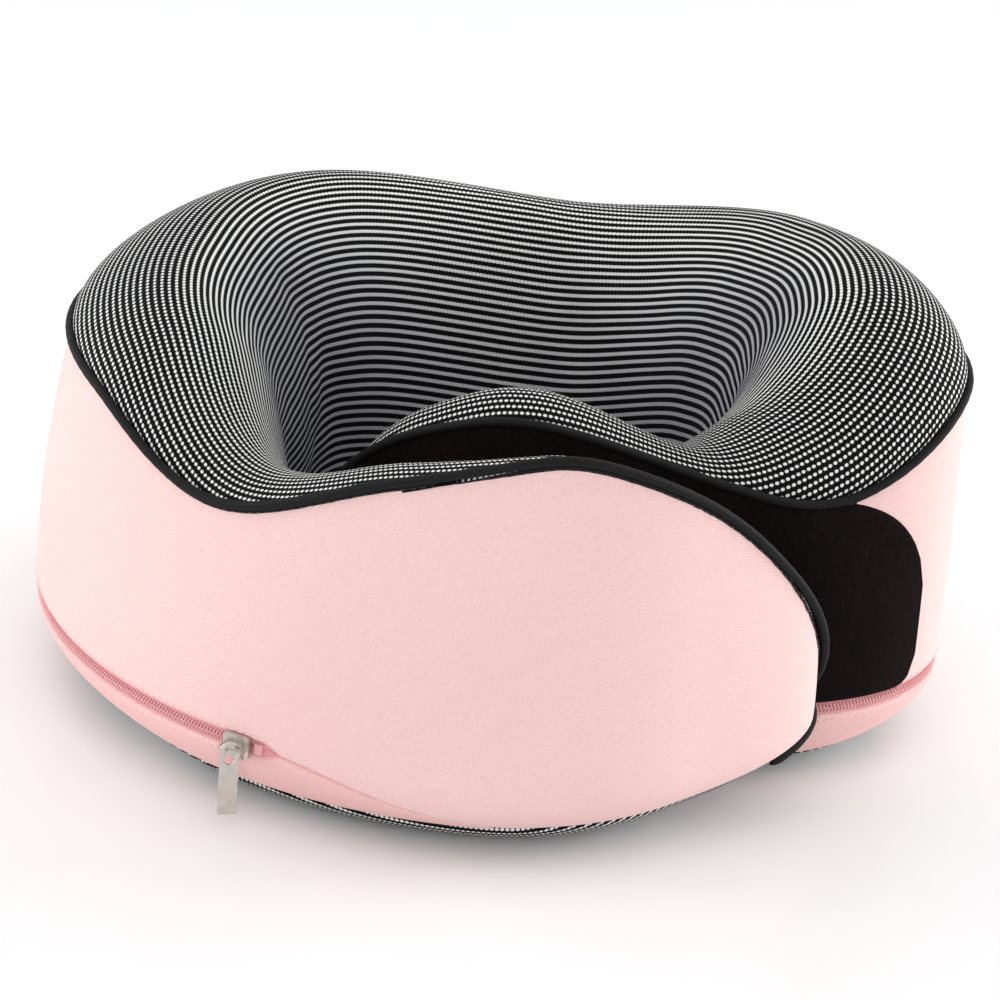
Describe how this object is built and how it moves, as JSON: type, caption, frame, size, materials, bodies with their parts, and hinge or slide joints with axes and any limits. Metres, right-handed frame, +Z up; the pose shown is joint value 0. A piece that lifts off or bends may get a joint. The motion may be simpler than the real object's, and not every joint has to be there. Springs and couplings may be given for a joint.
{
  "type": "u-shaped travel neck pillow",
  "caption": "U-shaped foam neck pillow closed into a ring, one arm lapped over the other, with a zipped cover, piped edge, hook-and-loop patches and a pull tab.",
  "frame": {"origin": "centre of the closed ring's outline in plan, on the surface that the pillow stands on", "axes": "+Z up, -Y the front where the arms lap, +Y the back of the neck, -X the side whose arm laps on top"},
  "size_m": [0.2954, 0.2544, 0.1553],
  "materials": {
    "memory_foam": "open-cell slow-recovery polyurethane foam, pale cream",
    "dotted_knit": "black knit with small white dots in rows along the ring",
    "pink_knit": "fine smooth polyester knit, pale pink, matt",
    "pink_band_knit": "the same knit on the lower band, pale pink",
    "piping_cord": "black knit over a cord",
    "zipper_tape": "woven polyester tape, rose pink",
    "zipper_coil": "nylon coil, rose pink",
    "hook_tape": "black hook tape",
    "loop_plush": "black short-pile loop plush",
    "nickel": "satin nickel plate on cast zinc"
  },
  "bodies": {
    "back": {"back_foam_core": "memory_foam", "back_top_panel": "dotted_knit", "back_bottom_panel": "dotted_knit", "back_side_panel": "pink_knit", "back_side_band": "pink_band_knit", "back_piping": "piping_cord", "back_zipper_tape_upper": "zipper_tape", "back_zipper_tape_lower": "zipper_tape", "back_zipper_coil": "zipper_coil"},
    "left_arm": {"left_foam_core": "memory_foam", "left_top_panel": "dotted_knit", "left_bottom_panel": "dotted_knit", "left_side_panel": "pink_knit", "left_side_band": "pink_band_knit", "left_piping": "piping_cord", "left_zipper_tape_upper": "zipper_tape", "left_zipper_tape_lower": "zipper_tape", "left_zipper_coil": "zipper_coil", "hook_patch": "hook_tape", "zipper_stop_left": "nickel"},
    "right_arm": {"right_foam_core": "memory_foam", "right_top_panel": "dotted_knit", "right_bottom_panel": "dotted_knit", "right_side_panel": "pink_knit", "right_side_band": "pink_band_knit", "right_piping": "piping_cord", "right_zipper_tape_upper": "zipper_tape", "right_zipper_tape_lower": "zipper_tape", "right_zipper_coil": "zipper_coil", "loop_patch": "loop_plush", "zipper_stop_right": "nickel"},
    "slider": {"zipper_slider": "nickel"},
    "pull": {"pull_tab": "nickel"}
  },
  "joints": [
    {"name": "left_arm_open", "type": "hinge", "parent": "back", "child": "left_arm", "pos_m": [-0.1492, 0, 0.07], "axis": [0, 0, -1], "range_deg": [0, 45]},
    {"name": "right_arm_open", "type": "hinge", "parent": "back", "child": "right_arm", "pos_m": [0.1492, 0, 0.07], "axis": [0, 0, 1], "range_deg": [0, 36]},
    {"name": "slider_travel", "type": "hinge", "parent": "left_arm", "child": "slider", "pos_m": [-0.00883, 0.02057, 0.0279], "axis": [0, 0, -1], "range_deg": [0, 36]},
    {"name": "pull_swing", "type": "hinge", "parent": "slider", "child": "pull", "pos_m": [-0.05543, -0.12265, 0.0279], "axis": [-0.9473, 0.3202, 0], "range_deg": [0, 150]}
  ],
  "couplings": [
    {"joint": "right_arm_open", "follows": "left_arm_open", "ratio": 0.8}
  ]
}
